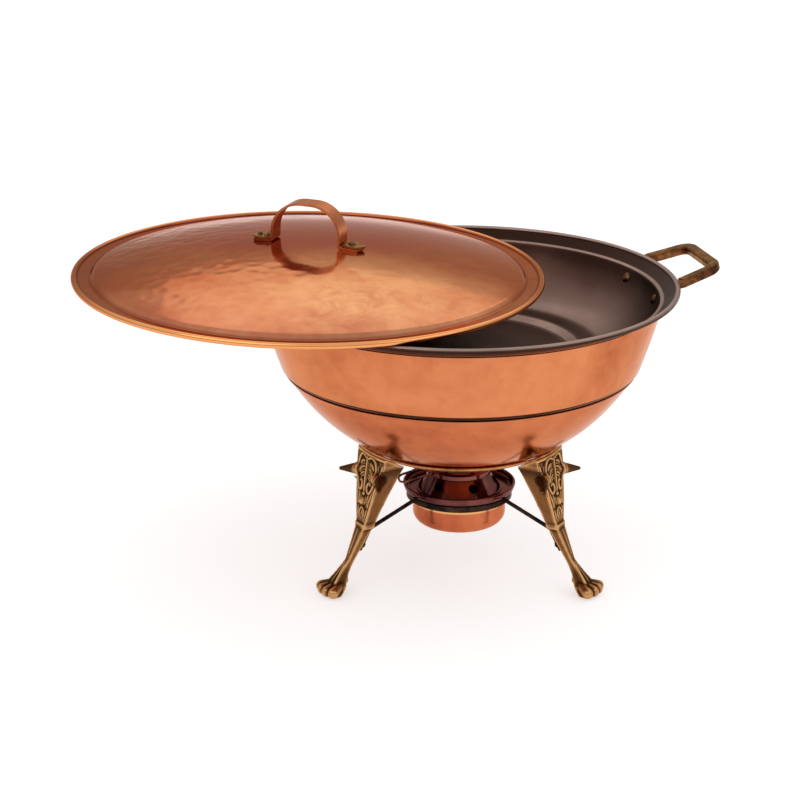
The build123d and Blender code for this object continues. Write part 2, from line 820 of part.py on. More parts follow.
def build_strut(name):
    """Rod from the burner ring to a leg, bent down and flattened to a tab against it."""
    bearing = leg_bearings[name]
    flat = radial_plane(bearing)
    tab_spot = spot(bearing, leg_inner_face(tab_middle), tab_middle, 180 + degrees(leg_lean))
    with BuildPart() as strut:
        with BuildLine(flat) as path:
            FilletPolyline(
                (rod_start[0] - rod_socket * cos(rod_slope), rod_start[1] + rod_socket * sin(rod_slope)),
                rod_knee,
                rod_end,
                radius=rod_bend,
            )
        with BuildSketch(Plane(origin=path.line @ 0, z_dir=path.line % 0)):
            Circle(rod_radius)
        sweep()
        with BuildSketch(tab_spot.offset(tab_gap)):
            RectangleRounded(tab_width, tab_length, tab_edge)
        extrude(amount=tab_sheet)
        with Locations(leg_screw_spots[name].offset(tab_gap + 2 * tab_sheet)):
            Hole(strut_screw_radius + hole_gap, depth=4 * tab_sheet)
    return strut


struts = {name: build_strut(name) for name in leg_bearings}
for name, strut in struts.items():
    save(strut, f"strut_{name}")

# Screws that hold the tabs to the legs
with BuildPart() as strut_screws:
    with Locations(*[place.offset(tab_gap + tab_sheet + fit_gap) for place in leg_screw_spots.values()]):
        Cylinder(strut_screw_head, strut_screw_cap, align=(Align.CENTER, Align.CENTER, Align.MIN))
        Cylinder(
            strut_screw_radius,
            tab_gap + tab_sheet + fit_gap + strut_screw_length - seat_gap,
            align=(Align.CENTER, Align.CENTER, Align.MAX),
        )
save(strut_screws, "strut_screws")

# Burner: the dish rests on the burner ring, and the cup hangs under it
dish_base = burner_ring_top + seat_gap
cup_top = dish_base - fit_gap
cup_base = cup_top - cup_height
with BuildPart() as burner_cup:
    with BuildSketch(Plane.XZ):
        with BuildLine():
            FilletPolyline((0, cup_base), (cup_radius, cup_base), (cup_radius, cup_top), radius=cup_corner)
            offset(amount=cup_wall, side=Side.LEFT)
        make_face()
        with Locations((cup_radius, burner_ring_base - cup_bead)):
            Circle(cup_bead)
    revolve(axis=Axis.Z)
save(burner_cup, "burner_cup")

neck_radius = cup_radius - cup_wall - fit_gap
with BuildPart() as burner_dish:
    with BuildSketch(Plane.XZ):
        with BuildLine():
            dish_line = Line((dish_inner, dish_base), (dish_flat, dish_base))
            TangentArc(
                dish_line @ 1,
                (dish_radius - dish_roll, dish_base + dish_height),
                tangent=dish_line % 1,
            )
            offset(amount=dish_sheet, side=Side.LEFT)
        make_face()
        with Locations((dish_radius - dish_roll, dish_base + dish_height)):
            Circle(dish_roll)
        with Locations((neck_radius, dish_base + dish_sheet / 2)):
            Rectangle(dish_sheet, neck_depth, align=(Align.MAX, Align.MAX))
    revolve(axis=Axis.Z)
save(burner_dish, "burner_dish")

# Chimney: flange on the dish, perforated cone
chimney_seat = dish_base + dish_sheet + fit_gap
chimney_mouth = chimney_seat + chimney_rise
chimney_slope = atan2(chimney_base - chimney_top, chimney_rise)


def cone_radius(height, distance):
    """Radius of a cone parallel to the inside of the chimney, at a distance outside it."""
    return chimney_base - (height - chimney_seat) * tan(chimney_slope) + distance / cos(chimney_slope)


vent_height = chimney_seat + vent_rise
vent_spots = [
    spot(
        vent_bearing + 360 * k / vent_count,
        cone_radius(vent_height, 2 * chimney_sheet),
        vent_height,
        degrees(chimney_slope),
    )
    for k in range(vent_count)
]
vent_cut = 4 * chimney_sheet + 2 * sleeve_sheet
with BuildPart() as burner_chimney:
    with BuildSketch(Plane.XZ):
        with BuildLine():
            Polyline(
                (chimney_top, chimney_mouth),
                (chimney_base, chimney_seat),
                (chimney_base + chimney_flange, chimney_seat),
            )
            offset(amount=chimney_sheet, side=Side.LEFT)
        make_face()
    revolve(axis=Axis.Z)
    with Locations(*vent_spots):
        Cylinder(vent_radius, vent_cut, mode=Mode.SUBTRACT)
save(burner_chimney, "burner_chimney")

# Screen in the mouth of the chimney
screen_top = chimney_mouth - screen_drop
with BuildPart() as burner_screen:
    with BuildSketch(Plane.XY.offset(screen_top - screen_sheet)):
        Circle(cone_radius(screen_top, -fit_gap))
    extrude(amount=screen_sheet)
save(burner_screen, "burner_screen")

# Wick pad in the cup
wick_base = cup_base + cup_wall + fit_gap
wick_radius = cup_radius - cup_wall - fit_gap
with BuildPart() as burner_wick:
    with BuildSketch(Plane.XZ):
        with BuildLine():
            FilletPolyline(
                (0, wick_base),
                (wick_radius, wick_base),
                (wick_radius, wick_base + wick_height),
                (0, wick_base + wick_height),
                radius=[cup_corner - cup_wall, cup_wall],
            )
            Line((0, wick_base + wick_height), (0, wick_base))
        make_face()
    revolve(axis=Axis.Z)
save(burner_wick, "burner_wick")

# Regulator: a perforated cone that turns over the chimney, with a collar for the wire loop
sleeve_gap = chimney_sheet + seat_gap
sleeve_base = chimney_seat + chimney_sheet + seat_gap
sleeve_top = chimney_mouth - sleeve_inset
collar_base = sleeve_top - sleeve_collar_height
collar_outside = cone_radius(collar_base, sleeve_gap) + sleeve_collar
loop_height = sleeve_top - sleeve_collar_height / 2
loop_start = sqrt(collar_outside**2 - loop_half_width**2)
loop_flat = radial_plane(loop_bearing)
loop_way = loop_flat.x_dir * cos(radians(loop_droop)) - loop_flat.y_dir * sin(radians(loop_droop))
loop_up = loop_flat.x_dir * sin(radians(loop_droop)) + loop_flat.y_dir * cos(radians(loop_droop))
loop_plane = Plane(
    origin=loop_flat.from_local_coords((loop_start, loop_height, 0)), x_dir=loop_way, z_dir=loop_up
)
with BuildPart() as regulator_sleeve:
    with BuildSketch(Plane.XZ):
        with BuildLine():
            Polyline(
                (cone_radius(sleeve_base, sleeve_gap), sleeve_base),
                (cone_radius(sleeve_base, sleeve_gap + sleeve_sheet), sleeve_base),
                (cone_radius(sleeve_top, sleeve_gap + sleeve_sheet), sleeve_top),
                (cone_radius(sleeve_top, sleeve_gap), sleeve_top),
                close=True,
            )
        make_face()
        with BuildLine():
            Polyline(
                (cone_radius(sleeve_top, sleeve_gap), sleeve_top),
                (cone_radius(collar_base, sleeve_gap), collar_base),
                (collar_outside, collar_base),
                (collar_outside, sleeve_top),
                close=True,
            )
        make_face()
    revolve(axis=Axis.Z)
    with Locations(*vent_spots):
        Cylinder(vent_radius, vent_cut, mode=Mode.SUBTRACT)
    for side in (-1, 1):
        socket = loop_plane.from_local_coords((0, side * loop_half_width, 0))
        with Locations(Plane(origin=socket, x_dir=loop_up, z_dir=loop_way)):
            Cylinder(loop_wire + hole_gap, 2 * (loop_socket + hole_gap), mode=Mode.SUBTRACT)
save(regulator_sleeve, "regulator_sleeve")

with BuildPart() as regulator_handle:
    with BuildLine(loop_plane) as path:
        FilletPolyline(
            (-loop_socket, -loop_half_width),
            (loop_reach - loop_socket, -loop_half_width),
            (loop_reach - loop_socket, loop_half_width),
            (-loop_socket, loop_half_width),
            radius=loop_corner,
        )
    with BuildSketch(Plane(origin=path.line @ 0, z_dir=path.line % 0)):
        Circle(loop_wire)
    sweep()
save(regulator_handle, "regulator_handle")
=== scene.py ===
"""Looks of the chafing dish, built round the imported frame. Metres, in the frame of the CAD."""

import math

import bmesh
import bpy
import numpy as np
from mathutils import Matrix, Vector


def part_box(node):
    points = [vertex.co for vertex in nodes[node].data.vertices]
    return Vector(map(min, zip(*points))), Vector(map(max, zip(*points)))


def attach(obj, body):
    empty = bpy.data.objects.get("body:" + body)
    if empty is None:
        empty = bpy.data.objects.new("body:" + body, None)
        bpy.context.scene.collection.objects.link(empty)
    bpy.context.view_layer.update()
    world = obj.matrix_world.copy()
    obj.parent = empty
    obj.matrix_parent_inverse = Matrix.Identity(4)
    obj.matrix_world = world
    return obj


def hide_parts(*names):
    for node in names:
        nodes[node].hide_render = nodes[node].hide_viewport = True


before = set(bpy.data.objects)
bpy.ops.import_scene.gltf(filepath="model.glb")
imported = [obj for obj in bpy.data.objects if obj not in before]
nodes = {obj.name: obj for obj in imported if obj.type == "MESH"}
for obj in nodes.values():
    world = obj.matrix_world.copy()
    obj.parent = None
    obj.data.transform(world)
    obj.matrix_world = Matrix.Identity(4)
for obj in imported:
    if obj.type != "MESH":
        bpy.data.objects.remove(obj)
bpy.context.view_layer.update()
scene = bpy.context.scene
MM = 0.001
CHUNK = 4096  # points that numpy compares at once
SAME_POINT = 1e-4  # gap in millimetres under which two points are one
SEGMENTS, LID_SEGMENTS = 256, 384  # round the axis of a turned sheet

cup_low, cup_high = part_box("burner_cup")
axis = Vector(((cup_low.x + cup_high.x) / 2, (cup_low.y + cup_high.y) / 2, 0))
on_axis = Matrix.Translation(axis)


# ---- camera, light and floor ----
sensor, frame_pixels, focal_pixels = 36.0, 800, 2470
camera_place, camera_pitch = Vector((-0.05, -1.95, 0.83)), 19.22
dish_middle = Vector((0, 0, 0.15))
camera_data = bpy.data.cameras.new("camera")
camera_data.sensor_width = sensor
camera_data.lens = sensor * focal_pixels / frame_pixels
camera_data.clip_end = 60.0
camera = bpy.data.objects.new("camera", camera_data)
camera.location = axis + camera_place
camera.rotation_euler = (math.radians(90 - camera_pitch), 0, 0)
scene.collection.objects.link(camera)
scene.camera = camera
scene.view_settings.view_transform = "Standard"


def area_light(name, place, size, power):
    """Soft lamp at a place from the stand's axis, turned to the dish; size in metres, power in watts."""
    data = bpy.data.lights.new(name, "AREA")
    data.shape = "RECTANGLE"
    data.size, data.size_y = size
    data.energy = power
    lamp = bpy.data.objects.new(name, data)
    lamp.location = axis + Vector(place)
    way = dish_middle - Vector(place)
    lamp.rotation_euler = way.to_track_quat("-Z", "Y").to_euler()
    scene.collection.objects.link(lamp)


area_light("key", (-1.2, -1.3, 2.0), (1.8, 1.8), 8.0)
area_light("fill", (1.8, -1.0, 1.4), (1.6, 1.6), 4.0)
area_light("back", (0.25, 2.2, 2.1), (2.4, 1.2), 5.0)


def make(tree, kind, attrs=None, **inputs):
    """Adds a node; inputs are given by name (spaces as _) or as i0, i1, and may be sockets."""
    made = tree.nodes.new(kind)
    for key, value in (attrs or {}).items():
        setattr(made, key, value)
    for key, value in inputs.items():
        by_index = key[0] == "i" and key[1:].isdigit()
        socket = made.inputs[int(key[1:])] if by_index else made.inputs[key.replace("_", " ")]
        if isinstance(value, bpy.types.NodeSocket):
            tree.links.new(value, socket)
        else:
            socket.default_value = value
    return made


def math_node(tree, operation, *values):
    """Output of a Math node whose inputs are numbers or sockets."""
    inputs = {f"i{k}": value for k, value in enumerate(values)}
    return make(tree, "ShaderNodeMath", {"operation": operation}, **inputs).outputs[0]


def times(tree, a, b):
    return math_node(tree, "MULTIPLY", a, b)


def vector_node(tree, operation, a, b):
    return make(tree, "ShaderNodeVectorMath", {"operation": operation}, i0=a, i1=b).outputs[0]


def split(tree, vector):
    """The x, y and z sockets of a vector."""
    return make(tree, "ShaderNodeSeparateXYZ", Vector=vector).outputs


def lin(r, g, b):
    """Linear colour from display values of 0 to 255."""
    def one(c):
        c /= 255
        return c / 12.92 if c <= 0.04045 else ((c + 0.055) / 1.055) ** 2.4
    return (one(r), one(g), one(b), 1.0)


def grey(value):
    return (value, value, value, 1.0)


def ramp(tree, factor, stops):
    """Colour ramp from (position, colour) stops."""
    made = make(tree, "ShaderNodeValToRGB", Fac=factor)
    elements = made.color_ramp.elements
    while len(elements) < len(stops):
        elements.new(0.5)
    for element, (position, colour) in zip(elements, stops):
        element.position = position
        element.color = colour
    return made.outputs["Color"]


def studio_world():
    """Pale room: wide soft light overhead that falls off to the horizon; the camera sees white."""
    world = bpy.data.worlds.new("studio")
    scene.world = world
    world.use_nodes = True
    tree = world.node_tree
    height = split(tree, make(tree, "ShaderNodeTexCoord").outputs["Generated"])[2]
    levels = [(0.0, 0.62), (0.30, 0.56), (0.46, 0.80), (0.66, 0.98), (1.0, 0.86)]
    stops = [(position, grey(level)) for position, level in levels]
    seen = make(tree, "ShaderNodeLightPath").outputs["Is Camera Ray"]
    sky = make(tree, "ShaderNodeMixRGB", Fac=seen, Color1=ramp(tree, height, stops), Color2=grey(1))
    tree.links.new(sky.outputs[0], tree.nodes["Background"].inputs["Color"])
    tree.nodes["Background"].inputs["Strength"].default_value = 1.0


studio_world()


def new_material(name):
    """Material with a Principled shader; returns material, tree and shader."""
    material = bpy.data.materials.new(name)
    material.use_nodes = True
    tree = material.node_tree
    return material, tree, tree.nodes["Principled BSDF"]


def floor_material():
    """Pale floor that keeps the shadow, and glows up to white for the camera and in the metal."""
    lit_share, glow_share = 0.6, 0.56
    material, tree, shader = new_material("floor_white")
    shader.inputs["Base Color"].default_value = grey(lit_share)
    shader.inputs["Roughness"].default_value = 0.9
    shader.inputs["Specular IOR Level"].default_value = 0.0
    rays = make(tree, "ShaderNodeLightPath")
    seen = math_node(tree, "MAXIMUM", rays.outputs["Is Camera Ray"], rays.outputs["Is Glossy Ray"])
    seen = math_node(tree, "MAXIMUM", seen, rays.outputs["Is Transmission Ray"])
    glow = make(tree, "ShaderNodeEmission", Color=grey(1), Strength=times(tree, seen, glow_share))
    both = make(tree, "ShaderNodeAddShader", i0=shader.outputs[0], i1=glow.outputs[0])
    tree.links.new(both.outputs[0], tree.nodes["Material Output"].inputs["Surface"])
    return material


floor_mesh = bpy.data.meshes.new("floor")
floor_side, floor_front, floor_back = 9, -9, 12
floor_corners = [(-floor_side, floor_front, 0), (floor_side, floor_front, 0),
                 (floor_side, floor_back, 0), (-floor_side, floor_back, 0)]
floor_mesh.from_pydata(floor_corners, [], [(0, 1, 2, 3)])
floor = bpy.data.objects.new("floor", floor_mesh)
floor.data.materials.append(floor_material())
scene.collection.objects.link(floor)


# ---- materials ----
def noise_at(tree, vector, scale, detail=4.0, roughness=0.55, distortion=0.0):
    """Noise of 0 to 1; scale is its lumps per metre."""
    return make(tree, "ShaderNodeTexNoise", Vector=vector, Scale=scale, Detail=detail,
                Roughness=roughness, Distortion=distortion).outputs["Fac"]


def mapped(tree, value, low, high, to_low, to_high):
    """Value taken from one range to another, and kept within it."""
    return make(tree, "ShaderNodeMapRange", {"clamp": True}, Value=value, From_Min=low,
                From_Max=high, To_Min=to_low, To_Max=to_high).outputs["Result"]


def between(tree, value, rise, fall, peak=1.0):
    """Factor that rises from 0 to its peak within one pair of limits and falls within the other."""
    return times(tree, mapped(tree, value, *rise, 0.0, 1.0), mapped(tree, value, *fall, peak, 0.0))


def without(tree, value, part):
    """Value less a part of it, where the part is a socket of 0 to 1."""
    return times(tree, value, math_node(tree, "SUBTRACT", 1.0, part))


def bump(tree, shader, parts):
    """Chains bumps given as (height socket, strength, distance in metres)."""
    normal = None
    for height, strength, distance in parts:
        inputs = {"Height": height, "Strength": strength, "Distance": distance}
        if normal is not None:
            inputs["Normal"] = normal
        normal = make(tree, "ShaderNodeBump", **inputs).outputs["Normal"]
    tree.links.new(normal, shader.inputs["Normal"])


def place_of(tree):
    return make(tree, "ShaderNodeTexCoord").outputs["Object"]


def length_of(tree, x, y):
    return math_node(tree, "SQRT", math_node(tree, "MULTIPLY_ADD", x, x, times(tree, y, y)))


def from_centre(tree, centre):
    """Radius, angle and height sockets about an upright axis through the centre."""
    x, y, z = split(tree, vector_node(tree, "SUBTRACT", place_of(tree), centre))
    return length_of(tree, x, y), math_node(tree, "ARCTAN2", y, x), z


def turned_rings(tree, centre, scale):
    """Noise that runs round an upright axis, as spinning and polishing leave it."""
    radius, angle, height = from_centre(tree, centre)
    slow = times(tree, angle, 0.004)
    vector = make(tree, "ShaderNodeCombineXYZ", X=radius, Y=slow, Z=height)
    return noise_at(tree, vector.outputs[0], scale, 3.0)


def copper(name, light, middle, dark, edge, rough, centre=axis, rings=0.12, painted_shadow_top=None, painted_light=None):
    """Polished copper: drifting tone, mottling, fine turned rings, cloudy gloss. Below the given height
    it is painted dark as a shadow. The last argument gives (factor, colour) pairs of painted light and shade
    laid over the tone."""
    material, tree, shader = new_material(name)
    place = place_of(tree)
    drift = noise_at(tree, place, 7.0, 3.0, 0.5, 0.6)
    mottle = noise_at(tree, place, 62.0, 5.0, 0.6, 0.3)
    tone = math_node(tree, "MULTIPLY_ADD", mottle, 0.35, times(tree, drift, 0.65))
    stops = [(0.36, dark), (0.50, middle), (0.63, light)]
    # painted shadow: below the given height the tone falls to near-black colours
    if painted_shadow_top:
        height, fade = from_centre(tree, centre)[2], 0.0008
        tone = times(tree, tone, mapped(tree, height, painted_shadow_top, painted_shadow_top + fade, 0.0, 1.0))
        stops = [(0.0, lin(36, 18, 14)), (0.24, lin(70, 34, 22))] + stops
    colour = ramp(tree, tone, stops)
    # painted light and shade laid over the tone
    for factor, over in painted_light(tree) if painted_light else ():
        colour = make(tree, "ShaderNodeMixRGB", Fac=factor, Color1=colour, Color2=over).outputs[0]
    tree.links.new(colour, shader.inputs["Base Color"])
    shader.inputs["Metallic"].default_value = 1.0
    shader.inputs["Specular Tint"].default_value = edge
    cloud = noise_at(tree, place, 24.0, 5.0, 0.65, 0.8)
    gloss = mapped(tree, cloud, 0.35, 0.7, rough * 0.8, rough * 1.35)
    tree.links.new(gloss, shader.inputs["Roughness"])
    bump(tree, shader, [(turned_rings(tree, centre, 900.0), rings, 0.0002),
                        (noise_at(tree, place, 420.0, 3.0), 0.05, 0.0002)])
    return material


def brass(name, bright, middle, dark, rough, attribute=None):
    """Cast brass: dark patina and rubbed spots, by the named relief of the mesh where it has one."""
    material, tree, shader = new_material(name)
    place = place_of(tree)
    grain = noise_at(tree, place, 130.0, 6.0, 0.62, 0.4)
    broad = noise_at(tree, place, 24.0, 3.0)
    wear = math_node(tree, "MULTIPLY_ADD", broad, 0.4, times(tree, grain, 0.6))
    stops = [(0.34, dark), (0.50, middle), (0.66, bright)]
    if attribute:
        relief = make(tree, "ShaderNodeAttribute", {"attribute_name": attribute}).outputs["Fac"]
        wear = math_node(tree, "MULTIPLY_ADD", relief, 0.72, times(tree, wear, 0.28))
        stops = [(0.22, dark), (0.46, middle), (0.74, bright)]
    tree.links.new(ramp(tree, wear, stops), shader.inputs["Base Color"])
    shader.inputs["Metallic"].default_value = 1.0
    shader.inputs["Specular Tint"].default_value = (0.92, 0.80, 0.62, 1)
    gloss = mapped(tree, wear, 0.25, 0.75, rough * 1.5, rough * 0.85)
    tree.links.new(gloss, shader.inputs["Roughness"])
    bump(tree, shader, [(grain, 0.35, 0.0004), (noise_at(tree, place, 700.0, 3.0), 0.12, 0.0002)])
    return material


def pan_metal():
    """Food pan: darkened tin, satin, with painted light and shade: painted light low on the wall,
    painted highlights on the ridge and rim, painted shade on the floor, the step line and the ledge. Heights
    are in metres."""
    floor_end, wall_fade, rim_fade = (0.1955, 0.1960), (0.2005, 0.2360), (0.2506, 0.2522)
    step_line = ((0.1983, 0.1987), (0.1994, 0.2004))
    ridge_highlight_limits = ((0.2431, 0.2437), (0.2441, 0.2445))
    ledge_shade_limits = ((0.2444, 0.2450), (0.2494, 0.2502))
    material, tree, shader = new_material("pan_metal_look")
    drift = noise_at(tree, place_of(tree), 9.0, 4.0, 0.6, 0.5)
    height = from_centre(tree, axis)[2]
    # painted light low on the wall, fading to painted shade higher up
    level = math_node(tree, "MULTIPLY_ADD", drift, 0.5, mapped(tree, height, *wall_fade, 0.66, 0.0))
    # painted shade on the floor
    level = times(tree, level, mapped(tree, height, *floor_end, 0.35, 1.0))
    # painted shade along the step line
    level = without(tree, level, between(tree, height, *step_line, 0.6))
    # painted highlight on the rim's top
    painted_rim_highlight = mapped(tree, height, *rim_fade, 0.0, 1.0)
    shade = math_node(tree, "MULTIPLY_ADD", painted_rim_highlight, 0.52, times(tree, level, 0.6))
    # painted shade on the ledge
    shade = without(tree, shade, between(tree, height, *ledge_shade_limits, 0.45))
    # painted highlight on the ridge
    shade = math_node(tree, "MULTIPLY_ADD", between(tree, height, *ridge_highlight_limits), 0.46, shade)
    # the top stop is the colour of the painted rim highlight
    stops = [(0.12, lin(52, 33, 27)), (0.30, lin(84, 60, 51)), (0.46, lin(118, 93, 83)),
             (0.9, lin(186, 162, 150))]
    tree.links.new(ramp(tree, shade, stops), shader.inputs["Base Color"])
    shader.inputs["Metallic"].default_value = 1.0
    shader.inputs["Specular Tint"].default_value = (0.85, 0.78, 0.74, 1)
    cloud = noise_at(tree, place_of(tree), 30.0, 5.0, 0.6)
    tree.links.new(mapped(tree, cloud, 0.3, 0.7, 0.27, 0.42), shader.inputs["Roughness"])
    bump(tree, shader, [(turned_rings(tree, axis, 800.0), 0.16, 0.0002),
                        (noise_at(tree, place_of(tree), 300.0, 4.0), 0.06, 0.0002)])
    return material


def plain_metal(name, light, dark, rough, metallic=1.0):
    """Dark metal with a mottled skin."""
    material, tree, shader = new_material(name)
    place = place_of(tree)
    skin = noise_at(tree, place, 80.0, 6.0, 0.6, 0.5)
    tree.links.new(ramp(tree, skin, [(0.35, dark), (0.68, light)]), shader.inputs["Base Color"])
    shader.inputs["Metallic"].default_value = metallic
    shader.inputs["Specular Tint"].default_value = (0.8, 0.7, 0.6, 1)
    tree.links.new(mapped(tree, skin, 0.3, 0.7, rough * 1.3, rough * 0.8), shader.inputs["Roughness"])
    bump(tree, shader, [(noise_at(tree, place, 260.0, 5.0), 0.25, 0.0003)])
    return material


def gauze():
    """Woven wire in the mouth of the burner."""
    material, tree, shader = new_material("gauze_look")
    pitch = 0.0011
    waves = []
    for along in split(tree, place_of(tree))[:2]:
        turned = times(tree, along, 2 * math.pi / pitch)
        waves.append(math_node(tree, "ABSOLUTE", math_node(tree, "SINE", turned)))
    weave = math_node(tree, "MAXIMUM", *waves)
    tree.links.new(ramp(tree, weave, [(0.55, lin(20, 18, 14)), (0.9, lin(118, 118, 92))]),
                   shader.inputs["Base Color"])
    shader.inputs["Metallic"].default_value = 0.8
    shader.inputs["Roughness"].default_value = 0.42
    bump(tree, shader, [(weave, 0.9, 0.0003)])
    return material


def fibre():
    """Matted fibre of the wick pad."""
    material, tree, shader = new_material("fibre_look")
    strands = vector_node(tree, "MULTIPLY", place_of(tree), (300.0, 900.0, 500.0))
    tuft = noise_at(tree, strands, 1.0, 6.0, 0.7, 1.5)
    tree.links.new(ramp(tree, tuft, [(0.3, lin(96, 82, 64)), (0.7, lin(190, 178, 152))]),
                   shader.inputs["Base Color"])
    shader.inputs["Roughness"].default_value = 0.95
    bump(tree, shader, [(tuft, 0.8, 0.001)])
    return material


# ---- mesh helpers ----
def arc(centre, radius, start, end, steps):
    """Points of an arc in (radius, height), by angles in degrees."""
    turns = [math.radians(start + (end - start) * k / steps) for k in range(steps + 1)]
    return [(centre[0] + radius * math.cos(t), centre[1] + radius * math.sin(t)) for t in turns]


def straight(a, b, steps=1):
    """Points from a to b, both ends included."""
    return [(a[0] + (b[0] - a[0]) * k / steps, a[1] + (b[1] - a[1]) * k / steps) for k in range(steps + 1)]


def bulged(a, b, bulge, steps):
    """Points from a to b, swelling outward by the bulge halfway."""
    return [(x + bulge * math.sin(math.pi * k / steps), y) for k, (x, y) in enumerate(straight(a, b, steps))]


def sphere_turn(radius, sphere):
    """Angle in degrees at which the lower half of a sphere has a radius."""
    return -math.degrees(math.acos(radius / sphere))


def tidy(points):
    """Drops points that repeat the one before."""
    out = []
    for p in points:
        if not out or math.dist(out[-1], p) > SAME_POINT:
            out.append(p)
    return out


def add_object(name, mesh, material, body, replaced, sharp=32.0):
    """Links a finished mesh as a piece that rides on a body and stands for CAD nodes. Edges
    sharper than an angle in degrees stay sharp."""
    mesh.shade_smooth()
    mesh.set_sharp_from_angle(angle=math.radians(sharp))
    mesh.materials.clear()
    mesh.materials.append(material)
    made = bpy.data.objects.new(name, mesh)
    scene.collection.objects.link(made)
    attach(made, body)
    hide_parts(*replaced)


def lathe_mesh(name, profile, segments, matrix, lift=None):
    """Closed mesh from a profile in millimetres (radius, height) turned about the upright axis.
    The profile starts and ends on the axis, or is a closed ring. lift moves points, in millimetres."""
    profile = tidy(profile)
    to_axis = profile[0][0] < SAME_POINT
    if not to_axis and math.dist(profile[0], profile[-1]) < SAME_POINT:
        profile = profile[:-1]
    points = np.array(profile, float)
    angles = np.linspace(0, 2 * math.pi, segments, endpoint=False)
    inner = points[1:-1] if to_axis else points
    rings = np.stack([
        np.outer(inner[:, 0], np.cos(angles)),
        np.outer(inner[:, 0], np.sin(angles)),
        np.repeat(inner[:, 1:2], segments, axis=1),
    ], axis=-1).reshape(-1, 3)
    if lift is not None:
        rings = lift(rings)
    verts = rings.tolist()
    count = len(inner)
    faces = []
    for i in range(count - 1 if to_axis else count):
        j = (i + 1) % count
        for k in range(segments):
            n = (k + 1) % segments
            faces.append((i * segments + k, i * segments + n, j * segments + n, j * segments + k))
    if to_axis:
        first, last = len(verts), len(verts) + 1
        verts += [(0, 0, points[0][1]), (0, 0, points[-1][1])]
        for k in range(segments):
            n = (k + 1) % segments
            faces.append((first, n, k))
            faces.append((last, (count - 1) * segments + k, (count - 1) * segments + n))
    mesh = bpy.data.meshes.new(name)
    mesh.from_pydata([tuple(c * MM for c in v) for v in verts], [], faces)
    work = bmesh.new()
    work.from_mesh(mesh)
    bmesh.ops.recalc_face_normals(work, faces=work.faces)
    work.to_mesh(mesh)
    work.free()
    mesh.transform(matrix)
    return mesh


# ---- looks of each metal ----
edge_copper = (0.94, 0.76, 0.64, 1)
edge_lid = (0.86, 0.58, 0.47, 1)
edge_burnt = (0.8, 0.62, 0.58, 1)
lid_centre = axis + Vector((-0.1254, 0.0088, 0))


def spot(tree, centre, reach, soft, ragged):
    """Factor of an oval zone about a centre on the lid, 1 inside and 0 outside, with a ragged edge."""
    offset = vector_node(tree, "SUBTRACT", place_of(tree), lid_centre + Vector(centre))
    x, y, _ = split(tree, vector_node(tree, "DIVIDE", offset, reach))
    cloud = noise_at(tree, place_of(tree), 34.0, 4.0, 0.6, 0.8)
    edge = math_node(tree, "MULTIPLY_ADD", cloud, ragged, length_of(tree, x, y))
    middle = 1 + ragged / 2
    return mapped(tree, edge, middle - soft, middle + soft, 1.0, 0.0)


def lid_painted_light(tree):
    """Painted light and shade on the lid: painted shade (darker reflections) at the back and left, a rosy
    painted reflection round the handle, a golden painted highlight in front, painted shade in the two
    creases, painted highlights on the bead's front and back. Radii are in metres."""
    groove_limits = ((0.1882, 0.1894), (0.1898, 0.1908))
    step_limits = ((0.1778, 0.1792), (0.1802, 0.1816))
    bead_start, cloud_reach = (0.1905, 0.1915), 0.08
    radius = from_centre(tree, lid_centre)[0]
    x, y, _ = split(tree, vector_node(tree, "SUBTRACT", place_of(tree), lid_centre))
    cloud = noise_at(tree, place_of(tree), 16.0, 4.0, 0.6, 0.8)
    # painted shade: the lid darker towards the back and the left
    back = mapped(tree, math_node(tree, "MULTIPLY_ADD", cloud, cloud_reach, y), 0.0, 0.15, 0.0, 0.78)
    left = mapped(tree, math_node(tree, "MULTIPLY_ADD", cloud, cloud_reach, x), -0.04, -0.15, 0.0, 0.8)
    # painted reflection: rosy round the handle
    rosy_painted_reflection = times(tree, spot(tree, (0.0, 0.05, 0), (0.11, 0.07, 1), 0.3, 0.4), 0.85)
    # painted highlight: golden in front, broken into patches
    highlight_patches = mapped(tree, noise_at(tree, place_of(tree), 46.0, 5.0, 0.65, 0.6), 0.36, 0.62, 0.3, 0.8)
    gold_painted_highlight = times(tree, spot(tree, (0.045, -0.10, 0), (0.085, 0.062, 1), 0.5, 0.7), highlight_patches)
    # painted highlights on the bead's front and back
    painted_rim_highlight = mapped(tree, math_node(tree, "ABSOLUTE", y), 0.03, 0.15, 0.2, 0.9)
    bead_painted_highlight = times(tree, mapped(tree, radius, *bead_start, 0.0, 1.0), painted_rim_highlight)
    # painted shade in the step and groove creases
    step = between(tree, radius, *step_limits, 0.55)
    groove_painted_shade = between(tree, radius, *groove_limits, 0.75)
    return [(back, lin(174, 94, 68)), (left, lin(146, 80, 66)), (rosy_painted_reflection, lin(174, 92, 86)),
            (gold_painted_highlight, lin(212, 159, 114)), (step, lin(116, 58, 38)), (groove_painted_shade, lin(96, 46, 28)),
            (bead_painted_highlight, lin(238, 162, 100))]


def cup_painted_highlight(tree):
    """Painted golden highlight on the cup's bead, between two heights in metres."""
    bead_limits = ((0.0622, 0.0628), (0.0663, 0.0668))
    return [(between(tree, from_centre(tree, axis)[2], *bead_limits, 0.8), lin(236, 186, 118))]


# the lid's copper carries painted light and shade over its tone
lid_copper = copper("lid_copper_look", lin(196, 130, 95), lin(184, 112, 82), lin(166, 95, 70),
                    edge_lid, 0.13, lid_centre, 0.05, painted_light=lid_painted_light)
strap_copper = copper("strap_copper_look", lin(208, 130, 88), lin(186, 110, 73), lin(146, 83, 56),
                      edge_copper, 0.24)
